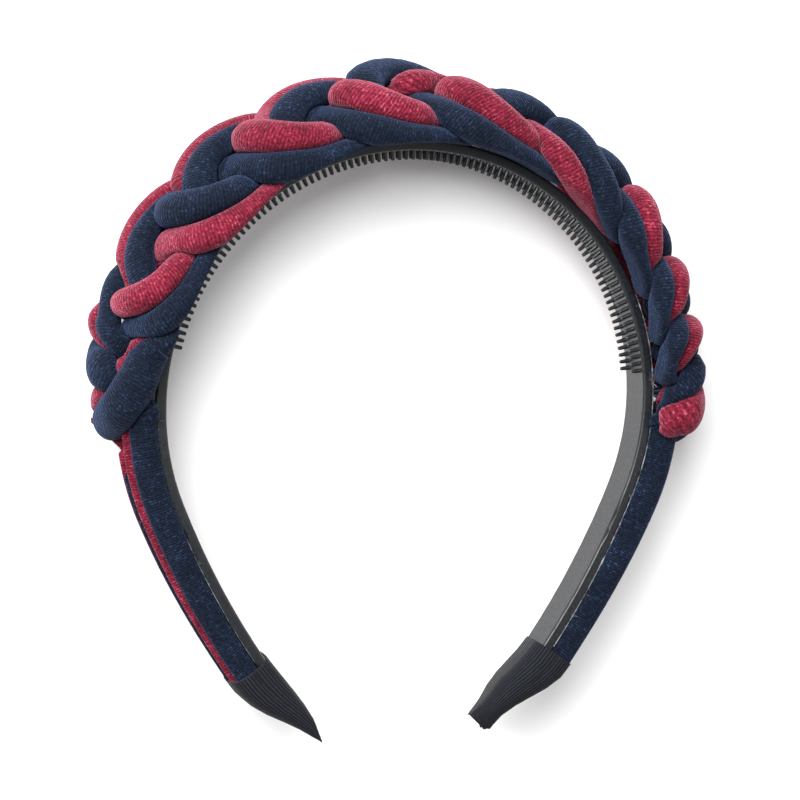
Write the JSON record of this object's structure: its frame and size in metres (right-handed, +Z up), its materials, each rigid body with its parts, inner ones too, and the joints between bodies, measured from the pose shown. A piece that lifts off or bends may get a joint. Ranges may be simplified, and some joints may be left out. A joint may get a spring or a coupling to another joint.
{
  "type": "braided velvet headband",
  "caption": "Alice band lying on its side, with toothed inner face, a thick braid of stuffed velvet cords over the crown, flat cords down the legs and ribbed sleeves on the tips.",
  "frame": {"origin": "middle of the bottom of the headband's box, on the surface it lies on", "axes": "+X across the headband to its right leg, +Y from the tips to the crown, +Z up from the back edge to the front edge"},
  "size_m": [0.155, 0.163, 0.0404],
  "materials": {
    "black_plastic": "moulded, half glossy",
    "navy_velvet": "short pile velvet",
    "burgundy_velvet": "short pile velvet",
    "black_elastic": "ribbed along its length, matte"
  },
  "bodies": {
    "root": {"band": "black_plastic", "navy_cord_1": "navy_velvet", "burgundy_cord_1": "burgundy_velvet", "navy_cord_2": "navy_velvet", "burgundy_cord_2": "burgundy_velvet", "navy_cord_3": "navy_velvet", "burgundy_cord_3": "burgundy_velvet", "end_sleeve_left": "black_elastic", "end_sleeve_right": "black_elastic"}
  },
  "joints": []
}
